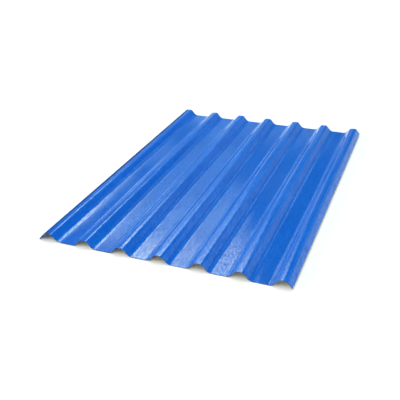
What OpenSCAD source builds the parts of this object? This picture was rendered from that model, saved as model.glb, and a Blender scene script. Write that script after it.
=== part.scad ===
// Roofing sheet with rounded trapezoidal ribs, extruded in one piece.
// X runs across the ribs, Y along them and Z up. The pans rest on Z = 0.
// The origin lies under the middle of the row of ribs, half way along the sheet.

/* [Sheet] */
// Number of ribs side by side
rib_count = 7; // [2:1:12]
// Distance between the centre lines of neighbouring ribs
rib_pitch = 175; // [130:5:300]
// Length along the ribs
sheet_length = 1670; // [300:10:12000]
// Thickness of the wall
thickness = 2.5; // [1:0.1:4]

/* [Ribs] */
// Width of a rib between its feet, measured underneath
rib_base = 86; // [74:1:110]
// Width of a rib across its crest, measured underneath
rib_crest = 31; // [24:1:42]
// Height of the hollow under a rib
rib_height = 33; // [15:1:50]

/* [Bends] */
// Radius on the hollow side of the bends beside a crest
crest_bend = 12; // [3:1:24]
// Radius on the hollow side of the bends where a rib meets a pan
foot_bend = 30; // [3:1:44]

/* [Side edges] */
// Height of the right-hand side edge above the floor, which lets it lap over the next sheet
lap_rise = 6; // [0:1:15]

/* [Hidden] */

// Flat steps in each bend
bend_steps = 8;

// Angle of a flank from the floor, which is also the angle that every bend turns through
bend_angle = atan2(rib_height, (rib_base - rib_crest) / 2);
// Direction square to the flank at the right of a rib, pointing out of the rib
flank_normal = direction(90 - bend_angle);

// Centres of the two bends at the right of a rib whose own centre line is at X = 0
crest_centre = [rib_crest / 2 - crest_bend * tan(bend_angle / 2), rib_height - crest_bend];
foot_radius = foot_bend + thickness;
foot_centre = [rib_base / 2 + foot_radius * tan(bend_angle / 2), foot_radius];

function direction(angle) = [cos(angle), sin(angle)];

function backwards(points) = [for (i = [len(points) - 1 : -1 : 0]) points[i]];

function mirrored(points) = [for (p = backwards(points)) [-p.x, p.y]];

// Points round a bend, from one direction out of its centre to another
function arc(centre, radius, from_angle, to_angle) = [
  for (step = [0 : bend_steps])
    centre + radius * direction(from_angle + (to_angle - from_angle) * step / bend_steps)
];

// One face of the sheet is 0 above its underside, and the other a thickness above it
function shoulder(above) = arc(crest_centre, crest_bend + above, 90, 90 - bend_angle);

function foot(above) = arc(foot_centre, foot_radius - above, 270 - bend_angle, 270);

// The end of an outer flank, whose underside stops at a height over the floor
function cut_edge(above, height) = [
  [rib_base / 2 - height / tan(bend_angle), height] + above * flank_normal
];

// The right half of a rib, down to the pan beside it or to a side edge of the sheet
function half_rib(above, at_edge, edge_height) =
  concat(shoulder(above), at_edge ? cut_edge(above, edge_height) : foot(above));

function rib(above, i) = concat(
  mirrored(half_rib(above, i == 0, 0)),
  half_rib(above, i == rib_count - 1, lap_rise)
);

function rib_x(i) = (i - (rib_count - 1) / 2) * rib_pitch;

// One face across the whole sheet, from left to right; the pans are its level stretches
function face(above) = [
  for (i = [0 : rib_count - 1])
    for (p = rib(above, i)) [p.x + rib_x(i), p.y]
];

module roofing_sheet() {
  color("royalblue")
    rotate([90, 0, 0])
      linear_extrude(height = sheet_length, center = true)
        polygon(concat(face(0), backwards(face(thickness))));
}

roofing_sheet();
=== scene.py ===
"""Looks of the blue roofing sheet: its fine shape, its materials and a plain studio round it.

The sheet lies with its pans on Z = 0, X across the ribs and Y along them. Lengths are in metres.
"""

import math

import bmesh
import bpy
from mathutils import Matrix, Vector, noise

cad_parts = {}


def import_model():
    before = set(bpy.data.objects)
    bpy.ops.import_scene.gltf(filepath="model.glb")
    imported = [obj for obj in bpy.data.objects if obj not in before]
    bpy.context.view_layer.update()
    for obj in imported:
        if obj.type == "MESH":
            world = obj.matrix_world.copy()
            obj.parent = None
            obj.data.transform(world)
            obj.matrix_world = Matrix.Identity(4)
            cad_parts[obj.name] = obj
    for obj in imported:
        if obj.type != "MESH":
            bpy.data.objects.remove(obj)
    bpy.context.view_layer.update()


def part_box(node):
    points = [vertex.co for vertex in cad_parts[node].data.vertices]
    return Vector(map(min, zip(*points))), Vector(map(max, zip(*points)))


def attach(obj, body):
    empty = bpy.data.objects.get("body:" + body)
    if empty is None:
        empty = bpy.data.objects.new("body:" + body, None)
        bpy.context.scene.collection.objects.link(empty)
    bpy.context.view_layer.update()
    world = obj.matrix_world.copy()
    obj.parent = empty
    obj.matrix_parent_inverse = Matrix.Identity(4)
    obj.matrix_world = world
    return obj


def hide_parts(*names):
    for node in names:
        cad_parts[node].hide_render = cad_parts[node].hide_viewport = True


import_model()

NODE = "roofing_sheet"

# ---------------------------------------------------------------- sizes of the sheet

low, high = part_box(NODE)

RIB_COUNT = 7
WALL = 0.0025
RIB_BASE = 0.086  # between the feet of a rib, underneath
RIB_CREST = 0.031  # across its crest, underneath
CREST_BEND = 0.012  # radius on the hollow side
FOOT_BEND = 0.030  # radius on the hollow side
LAP_RISE = 0.006  # height of the right-hand side edge over the floor

RIB_HEIGHT = high.z - low.z - WALL
BEND_ANGLE = math.atan2(RIB_HEIGHT, (RIB_BASE - RIB_CREST) / 2)
EDGE_REACH = WALL * math.sin(BEND_ANGLE)  # what the wall adds to an outer flank
LEFT_REACH = RIB_BASE / 2 + EDGE_REACH
RIGHT_REACH = LEFT_REACH - LAP_RISE / math.tan(BEND_ANGLE)
RIB_PITCH = (high.x - low.x - LEFT_REACH - RIGHT_REACH) / (RIB_COUNT - 1)
FIRST_RIB = low.x + LEFT_REACH
FOOT_RADIUS = FOOT_BEND + WALL  # on the underside, which is the outer side of a foot bend
FOOT_END = RIB_BASE / 2 + FOOT_RADIUS * math.tan(BEND_ANGLE / 2)  # where that bend runs out into the pan

BEND_STEPS = 12
CREST_STEPS = 10
FLANK_STEPS = 3
PAN_STEPS = 5
ROWS = 84
ROUNDED_TILT = 0.2  # a skin's face that leans more than this towards an end was sawn
SKIN = 0.16  # share of the wall in each skin. The back one shows white on the sawn ends
EDGE_ROUND = 0.0004
END_ROW = 0.002  # length of the first and last row, which keeps the edge rounding short
HAIR = 0.0001  # less than any step of the mesh

# How this one sheet lies. Together they move no point of the section by more than 4.2 mm.

WAVE = 0.0003  # how far the pans lift and the crests sink along the sheet
WAVE_ACROSS, WAVE_ALONG = 0.11, 0.34  # size of one wave
CREST_WAVES = Vector((0, 0, 7.3))  # where the crests read their waves, apart from the pans' own
DISH_SLOPES = (0.18, 0.06)  # how steeply the first two pans rise to the rib on their left, at the near end
DISH_RAMP = 0.015  # width of the foot bend over which that slope sets in
DISH_REACH = 0.016  # distance across the pan over which it fades to about a third
DISH_GONE = 0.9  # share of the length at which that rise has faded
CREST_LEAN, LAST_LEAN = 0.0012, 0.0024  # how far a crest's left shoulder lies lower than its middle
LEAN_STARTS, LEAN_REACH = 0.006, 0.028  # from right of the rib's middle, and how wide that fall is
CROWN_RIBS = (2, 3)  # the middle ribs, whose right shoulder lies lower too, at the near end
CROWN_SINK = 0.0014
CROWN_STARTS, CROWN_REACH = 0.002, 0.016  # from right of the rib's middle, and how wide that fall is
CROWN_GONE = 0.45  # share of the length at which that fall has faded

LAP_SHADE_STARTS = 0.004  # where the painted shade on the left lap starts, left of the middle of the first crest
SHADE_UNDER_LAP = 0.085  # how far from the near end shade is painted on the underside of the left lap
SHADE_UNDER_LAP_EDGE = RIB_CREST / 4  # where it ends there, left of the middle of the first crest
LAP_BULGE = 0.0012  # how far the left lap's flank bows outwards halfway down

TOP, UNDER, CORE, SHADED_LAP = range(4)  # the sheet's materials; the last is the left lap's painted shade

# ---------------------------------------------------------------- shape of the sheet


def direction(angle):
    return Vector((math.cos(angle), math.sin(angle)))


def bend(centre, radius, start, end, inwards=1):
    """Stations round a bend: a point of the underside and the way to the top face."""
    stations = []
    for step in range(BEND_STEPS + 1):
        out = direction(start + (end - start) * step / BEND_STEPS)
        stations.append((centre + radius * out, inwards * out))
    return stations


def straight(first, last, steps):
    """Stations between two others, without them."""
    return [(first[0].lerp(last[0], s / steps), first[1]) for s in range(1, steps)]


def half_rib(edge_height=None):
    """Stations from the crest to the right: down to the middle of a pan, or to a side edge at a height."""
    up = math.pi / 2
    crest_centre = Vector((RIB_CREST / 2 - CREST_BEND * math.tan(BEND_ANGLE / 2), RIB_HEIGHT - CREST_BEND))
    shoulder = bend(crest_centre, CREST_BEND, up, up - BEND_ANGLE)
    if edge_height is not None:
        edge = Vector((RIB_BASE / 2 - edge_height / math.tan(BEND_ANGLE), edge_height))
        end = (edge, shoulder[-1][1])
        return shoulder + straight(shoulder[-1], end, 2 * FLANK_STEPS) + [end]
    foot_centre = Vector((FOOT_END, FOOT_RADIUS))
    foot = bend(foot_centre, FOOT_RADIUS, 3 * up - BEND_ANGLE, 3 * up, inwards=-1)
    flank = straight(shoulder[-1], foot[0], FLANK_STEPS)
    middle = (Vector((RIB_PITCH / 2, 0)), Vector((0, 1)))
    return shoulder + flank + foot + straight(foot[-1], middle, PAN_STEPS)


def mirrored(stations):
    return [(Vector((-p.x, p.y)), Vector((-n.x, n.y))) for p, n in reversed(stations)]


def section():
    """Stations across the whole sheet from left to right, as half_rib gives them."""
    stations = []
    for i in range(RIB_COUNT):
        left = mirrored(half_rib(0 if i == 0 else None))
        right = half_rib(LAP_RISE if i == RIB_COUNT - 1 else None)
        middle = Vector((FIRST_RIB + i * RIB_PITCH, 0))
        crest = straight(left[-1], right[0], CREST_STEPS)
        stations += [(p + middle, n) for p, n in left + crest + right]
        if i < RIB_COUNT - 1:
            stations.append((middle + Vector((RIB_PITCH / 2, 0)), Vector((0, 1))))
    return stations


def row_places():
    """Where the rows of the mesh lie along the sheet."""
    inner = [low.y + END_ROW + (high.y - low.y - 2 * END_ROW) * j / ROWS for j in range(ROWS + 1)]
    return [low.y] + inner + [high.y]


def along(y):
    """Share of the length at a place, from the near end."""
    return (y - low.y) / (high.y - low.y)


def eased(share):
    """A share held between 0 and 1, with a soft start and end."""
    return 0.5 - 0.5 * math.cos(math.pi * min(1.0, max(0.0, share)))


def dish(x, y):
    """How far the pan at a place has risen towards the rib on its left."""
    rib = max(0, math.floor((x - FIRST_RIB) / RIB_PITCH))
    if rib >= len(DISH_SLOPES) or x < FIRST_RIB:
        return 0.0
    slope = DISH_SLOPES[rib] * max(0.0, 1 - along(y) / DISH_GONE)
    past_foot = x - FIRST_RIB - rib * RIB_PITCH - FOOT_END
    if past_foot < 0:
        set_in = max(0.0, past_foot + DISH_RAMP) / DISH_RAMP
        return slope * (DISH_REACH + DISH_RAMP / 2 * (1 - set_in**2))
    to_next_rib = past_foot / (RIB_PITCH - FOOT_END)
    return slope * DISH_REACH * math.exp(-past_foot / DISH_REACH) * (1 - to_next_rib)


def lean(x, y):
    """How far a crest has sunk beside its middle."""
    rib = round((x - FIRST_RIB) / RIB_PITCH)
    beside = x - FIRST_RIB - RIB_PITCH * rib
    most = LAST_LEAN if rib == RIB_COUNT - 1 else CREST_LEAN
    sink = most * eased((LEAN_STARTS - beside) / LEAN_REACH)
    if rib in CROWN_RIBS:
        near = max(0.0, 1 - along(y) / CROWN_GONE)
        sink += CROWN_SINK * near * eased((beside - CROWN_STARTS) / CROWN_REACH)
    return sink


def lap_bow(point, share):
    """How far the left lap's outer flank has bowed outwards at a share of its height, inside the box."""
    if point.x > FIRST_RIB:
        return 0.0
    bow = LAP_BULGE * math.sin(math.pi * min(1.0, max(0.0, share)))
    return min(bow, point.x - low.x)


def waved(point):
    """A point of the true section, moved as a thin extruded sheet moves.

    Pans lift and crests sink, so neither leaves the box.
    """
    share = (point.z - low.z) / (high.z - low.z)
    place = Vector((point.x / WAVE_ACROSS, point.y / WAVE_ALONG, 0.0))
    lift = WAVE * (0.5 + 0.5 * noise.noise(place))
    sink = WAVE * (0.5 + 0.5 * noise.noise(place + CREST_WAVES))
    lift += dish(point.x, point.y)
    sink += lean(point.x, point.y)
    return Vector((point.x - lap_bow(point, share), point.y, point.z + lift * (1 - share) - sink * share))


def sheet_mesh():
    """A closed mesh round the wall. Its sawn ends and side edges show the core above the white back."""
    stations = section()
    rows = row_places()
    shares = [0, SKIN, 1 - SKIN, 1]
    last_row, last_station, top = len(rows) - 1, len(stations) - 1, len(shares) - 1
    mesh = bmesh.new()
    made = {}

    def vertex(j, i, k):
        if (j, i, k) not in made:
            point, up = stations[i]
            place = point + up * WALL * shares[k]
            made[j, i, k] = mesh.verts.new(waved(Vector((place.x, rows[j], place.y))))
        return made[j, i, k]

    def face(corners, material):
        mesh.faces.new([vertex(*corner) for corner in corners]).material_index = material

    for j, n in zip(range(last_row), range(1, last_row + 1)):
        near_end = rows[n] < low.y + SHADE_UNDER_LAP + HAIR
        for i in range(last_station):
            # Painted shade on the left lap's top face
            upper = SHADED_LAP if stations[i][0].x < FIRST_RIB - LAP_SHADE_STARTS - HAIR else TOP
            face([(j, i, top), (j, i + 1, top), (n, i + 1, top), (n, i, top)], upper)
            # Painted shade on the underside of the left lap, near the near end
            shaded_under_lap = near_end and stations[i + 1][0].x < FIRST_RIB - SHADE_UNDER_LAP_EDGE
            face([(j, i, 0), (n, i, 0), (n, i + 1, 0), (j, i + 1, 0)], SHADED_LAP if shaded_under_lap else UNDER)
    for k, material in enumerate((UNDER, CORE, CORE)):
        m, j, e = k + 1, last_row, last_station
        for i in range(last_station):
            face([(0, i, k), (0, i + 1, k), (0, i + 1, m), (0, i, m)], material)
            face([(j, i, k), (j, i, m), (j, i + 1, m), (j, i + 1, k)], material)
        for j in range(last_row):
            face([(j, 0, k), (j, 0, m), (j + 1, 0, m), (j + 1, 0, k)], material)
            face([(j, e, k), (j + 1, e, k), (j + 1, e, m), (j, e, m)], material)
    round_edges(mesh)
    for f in mesh.faces:
        f.smooth = True
        if abs(f.normal.y) > ROUNDED_TILT and f.material_index in (TOP, SHADED_LAP):
            f.material_index = CORE
        # Painted shade on the left lap's sawn edges
        if f.material_index == CORE and f.calc_center_median().x < FIRST_RIB - RIB_CREST / 2:
            f.material_index = SHADED_LAP
    data = bpy.data.meshes.new("roofing_sheet_skin")
    mesh.to_mesh(data)
    mesh.free()
    return data


def round_edges(mesh):
    """Takes the sharp corners off the sawn ends and the side edges."""
    sharp = [e for e in mesh.edges if e.calc_face_angle(0) > math.radians(60)]
    bmesh.ops.bevel(
        mesh, geom=sharp, offset=EDGE_ROUND, segments=2, profile=0.5, affect="EDGES", clamp_overlap=True
    )


# ---------------------------------------------------------------- materials


def new_material(name):
    """A new material, with its node tree and that tree's principled shader."""
    material = bpy.data.materials.new(name)
    material.use_nodes = True
    tree = material.node_tree
    tree.nodes.clear()
    output = tree.nodes.new("ShaderNodeOutputMaterial")
    shader = tree.nodes.new("ShaderNodeBsdfPrincipled")
    tree.links.new(shader.outputs["BSDF"], output.inputs["Surface"])
    return material, tree, shader


def put(tree, kind, settings=None, **inputs):
    """Adds a node. Settings are its own, and inputs are numbers or sockets. A1 means input 1."""
    node = tree.nodes.new(kind)
    for key, value in (settings or {}).items():
        setattr(node, key, value)
    for key, value in inputs.items():
        numbered = key[0] == "A" and key[1:].isdigit()
        socket = node.inputs[int(key[1:]) if numbered else key.replace("_", " ")]
        if isinstance(value, bpy.types.NodeSocket):
            tree.links.new(value, socket)
        else:
            socket.default_value = value
    return node


def stretched(tree, x, y, z):
    """Places on the object, stretched so that a texture has x, y and z features a metre."""
    coordinates = put(tree, "ShaderNodeTexCoord")
    mapping = put(tree, "ShaderNodeMapping", Vector=coordinates.outputs["Object"], Scale=(x, y, z))
    return mapping.outputs["Vector"]


def raked(tree, width, length, turn):
    """Places on the object for a grain of strokes of that width and length, turned about Z."""
    coordinates = put(tree, "ShaderNodeTexCoord")
    mapping = put(
        tree,
        "ShaderNodeMapping",
        {"vector_type": "TEXTURE"},
        Vector=coordinates.outputs["Object"],
        Rotation=(0, 0, turn),
        Scale=(width, length, length),
    )
    return mapping.outputs["Vector"]


def noise_at(tree, vector, detail=2.0, roughness=0.5, distortion=0.0):
    node = put(
        tree,
        "ShaderNodeTexNoise",
        Vector=vector,
        Scale=1.0,
        Detail=detail,
        Roughness=roughness,
        Distortion=distortion,
    )
    return node.outputs["Fac"]


def ranged(tree, value, low_in, high_in, low_out, high_out):
    node = put(
        tree,
        "ShaderNodeMapRange",
        Value=value,
        From_Min=low_in,
        From_Max=high_in,
        To_Min=low_out,
        To_Max=high_out,
    )
    return node.outputs["Result"]


def math_of(tree, operation, first, second):
    return put(tree, "ShaderNodeMath", {"operation": operation}, A0=first, A1=second).outputs[0]


def mixed(tree, share, first, second):
    node = put(tree, "ShaderNodeMix", {"data_type": "RGBA"}, A0=share, A6=first, A7=second)
    return node.outputs[2]


def relief(tree, height, depth):
    return put(tree, "ShaderNodeBump", Strength=1.0, Distance=depth, Height=height).outputs["Normal"]


BLUE = (0.009, 0.168, 0.76, 1)
BLUE_DEEP = (0.001, 0.104, 0.55, 1)
BLUE_CHALKY = (0.007, 0.140, 0.68, 1)
# The sawn core's own grey, darkened as painted shade for the contact shadow along the sheet's edges
CORE_GREY_SHADED = (0.03, 0.05, 0.11, 1)
CORE_DARK_SHADED = (0.015, 0.028, 0.065, 1)
# The back's off-white, darkened and warmed as painted shade for the hollows under the ribs
WHITE = (0.53, 0.48, 0.41, 1)
WHITE_DULL = (0.42, 0.38, 0.33, 1)
# Painted shade on the left lap: dark navy, mottled at random, and painted lighter towards the near end
LAP_SHADE_NAVY = (0.002, 0.022, 0.15, 1)
LAP_SHADE_MOTTLED = (0.004, 0.035, 0.22, 1)
LAP_SHADE_NEAR_END = (0.010, 0.075, 0.36, 1)

STROKE_ACROSS, STROKE_ALONG = 0.0065, 0.015  # size of one stroke of the grain
STROKE_TURN = math.radians(22)
STROKE_SHARE = 0.75  # of the face's marks; the rest are lines
GRAIN_DEPTH = 0.00006
LINE_ACROSS, LINE_ALONG = 0.005, 0.15  # size of one of the faint lines the die draws along the sheet
BACK_LINE_DEPTH = 0.00004
SAW_DEPTH = 0.0001


def grain(tree):
    """An embossed leather-like grain: short wandering strokes, as a share from groove to cushion."""
    strokes = noise_at(tree, raked(tree, STROKE_ACROSS, STROKE_ALONG, STROKE_TURN), detail=1, distortion=0.9)
    return ranged(tree, strokes, 0.38, 0.62, 0.0, 1.0)


def drawn_lines(tree):
    """Faint lines along the sheet, left by the die, as a share from dull to bright."""
    lines = noise_at(tree, raked(tree, LINE_ACROSS, LINE_ALONG, 0.0), detail=2, roughness=0.6)
    return ranged(tree, lines, 0.35, 0.65, 0.0, 1.0)


def top_face():
    """Glossy blue PVC with a shallow embossed grain, faint clouding and a little chalk."""
    material, tree, shader = new_material("blue_gloss_pvc")
    strokes = grain(tree)
    clouds = noise_at(tree, stretched(tree, 9, 3, 9), detail=3)
    chalk = noise_at(tree, stretched(tree, 30, 12, 30), detail=4, roughness=0.6)
    chalk = ranged(tree, chalk, 0.52, 0.8, 0.0, 0.35)
    lines = math_of(tree, "MULTIPLY", drawn_lines(tree), 1 - STROKE_SHARE)
    marks = math_of(tree, "ADD", math_of(tree, "MULTIPLY", strokes, STROKE_SHARE), lines)
    shade = math_of(tree, "MULTIPLY", ranged(tree, clouds, 0.3, 0.7, 0.35, 1.0), marks)
    colour = mixed(tree, shade, BLUE_DEEP, BLUE)
    colour = mixed(tree, chalk, colour, BLUE_CHALKY)
    tree.links.new(colour, shader.inputs["Base Color"])

    rough = ranged(tree, clouds, 0.3, 0.7, 0.09, 0.11)
    rough = math_of(tree, "ADD", rough, ranged(tree, strokes, 0.0, 1.0, 0.02, 0.0))
    tree.links.new(rough, shader.inputs["Roughness"])
    tree.links.new(ranged(tree, marks, 0.0, 1.0, 0.11, 0.88), shader.inputs["Specular IOR Level"])

    tree.links.new(relief(tree, strokes, GRAIN_DEPTH), shader.inputs["Normal"])
    shader.inputs["IOR"].default_value = 1.5
    return material


def lap_face():
    """The outer flank of the left lap: the same skin with painted shade on it, darker and duller, and
    painted lighter towards the near end. It also paints shade under the lap's near end and on its sawn
    edges.
    """
    material, tree, shader = new_material("lap_pvc_painted_shade")
    shade_mottle = noise_at(tree, stretched(tree, 60, 6, 60), detail=3, roughness=0.6)
    colour = mixed(tree, ranged(tree, shade_mottle, 0.4, 0.7, 0, 1), LAP_SHADE_NAVY, LAP_SHADE_MOTTLED)
    # painted shade made lighter towards the near end
    place = put(tree, "ShaderNodeSeparateXYZ", Vector=stretched(tree, 1, 1, 1))
    near = ranged(tree, place.outputs["Y"], low.y, 0.0, 1.0, 0.0)
    colour = mixed(tree, near, colour, LAP_SHADE_NEAR_END)
    tree.links.new(colour, shader.inputs["Base Color"])
    tree.links.new(ranged(tree, shade_mottle, 0.3, 0.7, 0.45, 0.6), shader.inputs["Roughness"])
    tree.links.new(relief(tree, grain(tree), GRAIN_DEPTH), shader.inputs["Normal"])
    shader.inputs["Specular IOR Level"].default_value = 0.02
    return material


def under_face():
    """Off-white back layer, darkened and warmed by painted shade for the hollows under the ribs, satin, with
    faint lines drawn along it by the die.
    """
    material, tree, shader = new_material("white_satin_pvc_painted_shade")
    clouds = noise_at(tree, stretched(tree, 12, 4, 12), detail=3)
    lines = noise_at(tree, stretched(tree, 400, 3, 400), detail=2)
    colour = mixed(tree, ranged(tree, clouds, 0.3, 0.7, 0, 1), WHITE, WHITE_DULL)
    tree.links.new(colour, shader.inputs["Base Color"])
    tree.links.new(ranged(tree, lines, 0.3, 0.7, 0.42, 0.52), shader.inputs["Roughness"])
    tree.links.new(relief(tree, lines, BACK_LINE_DEPTH), shader.inputs["Normal"])
    return material


def sawn_edge():
    """The core on the cut edges, grey and darkened by painted shade, with the upright marks of a saw."""
    material, tree, shader = new_material("sawn_pvc_core_painted_shade")
    marks = noise_at(tree, stretched(tree, 900, 40, 40), detail=2, roughness=0.6)
    colour = mixed(tree, ranged(tree, marks, 0.35, 0.65, 0, 1), CORE_GREY_SHADED, CORE_DARK_SHADED)
    tree.links.new(colour, shader.inputs["Base Color"])
    tree.links.new(ranged(tree, marks, 0.3, 0.7, 0.6, 0.75), shader.inputs["Roughness"])
    tree.links.new(relief(tree, marks, SAW_DEPTH), shader.inputs["Normal"])
    return material


# ---------------------------------------------------------------- floor, lights and camera


def rays_that_see_the_background(tree):
    path = put(tree, "ShaderNodeLightPath")
    seen = math_of(tree, "MAXIMUM", path.outputs["Is Camera Ray"], path.outputs["Is Glossy Ray"])
    return math_of(tree, "MAXIMUM", seen, path.outputs["Is Transmission Ray"])


FLOOR_SIZE = 40.0
FLOOR_DROP = 0.0004  # keeps the floor's face off the underside of the pans
FLOOR_GREY = (0.80, 0.79, 0.77, 1)  # what the floor throws back on the sheet
FLOOR_WHITE = (1.0, 1.0, 1.0, 1)  # what the camera sees of it
FAR_GLOW = 1.0  # what the camera sees added to it far from the sheet
GLOW_STARTS, GLOW_FULL = 1.2, 3.6  # distances from the sheet's middle


def floor():
    """A pale floor that shows as white and keeps the sheet's soft shadow."""
    bpy.ops.mesh.primitive_plane_add(size=FLOOR_SIZE, location=(0, 0, low.z - FLOOR_DROP))
    plane = bpy.context.object
    plane.name = "studio_floor"
    material, tree, shader = new_material("studio_floor")
    seen = rays_that_see_the_background(tree)
    tree.links.new(mixed(tree, seen, FLOOR_GREY, FLOOR_WHITE), shader.inputs["Base Color"])
    shader.inputs["Roughness"].default_value = 0.9
    shader.inputs["Specular IOR Level"].default_value = 0.0
    away = put(tree, "ShaderNodeVectorMath", {"operation": "LENGTH"}, A0=stretched(tree, 1, 1, 1))
    glow = ranged(tree, away.outputs["Value"], GLOW_STARTS, GLOW_FULL, 0.0, FAR_GLOW)
    shader.inputs["Emission Color"].default_value = (1, 1, 1, 1)
    tree.links.new(math_of(tree, "MULTIPLY", glow, seen), shader.inputs["Emission Strength"])
    plane.data.materials.append(material)


AIR = (0.08, 0.16, 0.18, 1)
COVE_HEIGHT = 0.09  # sine of the elevation at which the white backdrop has faded


def world():
    """Even dim air round the studio. The camera sees it as white, and so do reflections at the horizon."""
    sky = bpy.data.worlds.new("studio_air")
    bpy.context.scene.world = sky
    sky.use_nodes = True
    tree = sky.node_tree
    path = put(tree, "ShaderNodeLightPath")
    way = put(tree, "ShaderNodeSeparateXYZ", Vector=put(tree, "ShaderNodeTexCoord").outputs["Generated"])
    horizon = ranged(tree, way.outputs["Z"], 0.0, COVE_HEIGHT, 1.0, 0.0)
    reflected = math_of(tree, "MAXIMUM", path.outputs["Is Glossy Ray"], path.outputs["Is Transmission Ray"])
    low_down = math_of(tree, "MULTIPLY", reflected, horizon)
    white = math_of(tree, "MAXIMUM", path.outputs["Is Camera Ray"], low_down)
    tree.links.new(mixed(tree, white, AIR, (1, 1, 1, 1)), tree.nodes["Background"].inputs["Color"])


GLOW = (0.87, 1.0, 0.80)
COOL = (0.70, 1.0, 1.0)
FILL = (1.0, 0.97, 0.92)

# Each softbox: name, azimuth from +Y towards -X, elevation, width and height in degrees, then its
# distance in metres, radiance and colour
SOFTBOXES = [
    ("key_edge", 41, 36, 4, 8, 4, 0.9, GLOW),
    ("edge_haze", 47, 32, 8, 8, 4, 0.22, GLOW),
    ("left_haze", 45, 19, 16, 14, 4, 0.5, COOL),
    ("key_left", 34.5, 39.5, 7, 8, 4, 4.6, GLOW),
    ("key_right", 22, 40, 13, 8, 4, 3.1, GLOW),
    ("key_hot_spot", 34, 40, 4, 5, 4, 3.0, GLOW),
    ("key_upper", 27, 48, 18, 9, 4, 6.0, COOL),
    ("key_top", 29, 59, 17, 8, 4, 4.0, COOL),
    ("under_key", 27, 33, 21, 5, 4, 1.75, COOL),
    ("under_key_low", 26, 28.5, 18, 4, 4, 0.85, COOL),
    ("low_glow", 24, 23.5, 13, 6, 4, 0.6, COOL),
    ("low_glow_right", 11, 26.5, 8, 5, 4, 0.2, COOL),
    ("low_left", 41, 13, 13, 8, 6, 1.85, COOL),
    ("low_left_upper", 35, 18.5, 10, 4, 6, 1.2, COOL),
    ("low_middle", 27, 14, 13, 7, 6, 1.0, COOL),
    ("low_far", 22.5, 6, 13, 6, 6, 1.35, COOL),
    ("low_right", -46, 11, 28, 20, 6, 0.6, COOL),
    ("low_right_far", -24, 8.5, 15, 15, 6, 0.4, COOL),
    ("right_haze", -15, 31, 15, 17, 6, 0.65, COOL),
    ("middle_haze", -9, 27, 14, 10, 6, 0.25, COOL),
    ("far_glow", 13, 17.5, 18, 7, 6, 0.45, COOL),
    ("overhead", 0, 80, 40, 30, 10, 3.0, FILL),
    ("front_left", 150, 48, 45, 32, 10, 2.1, FILL),
    ("front_right", -150, 48, 45, 32, 10, 1.2, FILL),
    ("left", 110, 15, 50, 20, 10, 4.0, FILL),
    ("right", -95, 15, 50, 20, 10, 3.2, FILL),
    ("front_low", 180, 16, 60, 20, 10, 1.7, FILL),
]


def softbox(name, azimuth, elevation, across, up, distance, radiance, colour):
    """An area lamp that faces the sheet. Its power follows from the radiance of its face."""
    lamp = bpy.data.lights.new(name, "AREA")
    lamp.shape = "RECTANGLE"
    lamp.size = 2 * distance * math.tan(math.radians(across / 2))
    lamp.size_y = 2 * distance * math.tan(math.radians(up / 2))
    lamp.energy = radiance * math.pi * lamp.size * lamp.size_y
    lamp.color = colour
    a, e = math.radians(azimuth), math.radians(elevation)
    out = Vector((-math.sin(a) * math.cos(e), math.cos(a) * math.cos(e), math.sin(e)))
    holder = bpy.data.objects.new(name, lamp)
    holder.location = out * distance
    holder.rotation_euler = out.to_track_quat("Z", "Y").to_euler()
    bpy.context.scene.collection.objects.link(holder)


CAMERA_PLACE = Vector((0.9785, -2.8548, 1.4654))
CAMERA_TURN = math.radians(21.322)  # from +Y towards -X
CAMERA_DOWN = math.radians(27.721)
CAMERA_ROLL = math.radians(0.926)
LENS, SENSOR = 58.29, 36.0  # millimetres


def camera():
    data = bpy.data.cameras.new("camera")
    data.lens, data.sensor_width = LENS, SENSOR
    holder = bpy.data.objects.new("camera", data)
    turn = Matrix.Rotation(CAMERA_TURN, 4, "Z")
    tilt = Matrix.Rotation(math.pi / 2 - CAMERA_DOWN, 4, "X")
    roll = Matrix.Rotation(-CAMERA_ROLL, 4, "Z")
    holder.matrix_world = Matrix.Translation(CAMERA_PLACE) @ turn @ tilt @ roll
    bpy.context.scene.collection.objects.link(holder)
    bpy.context.scene.camera = holder


# ---------------------------------------------------------------- the scene


def sheet():
    piece = bpy.data.objects.new("blue_sheet", sheet_mesh())
    bpy.context.scene.collection.objects.link(piece)
    for material in (top_face(), under_face(), sawn_edge(), lap_face()):
        piece.data.materials.append(material)
    weighted = piece.modifiers.new("flat_faces_keep_their_normals", "WEIGHTED_NORMAL")
    weighted.mode = "FACE_AREA"
    weighted.weight = 100
    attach(piece, "root")
    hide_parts(NODE)


sheet()
floor()
world()
for settings in SOFTBOXES:
    softbox(*settings)
camera()
bpy.context.scene.view_settings.view_transform = "Standard"
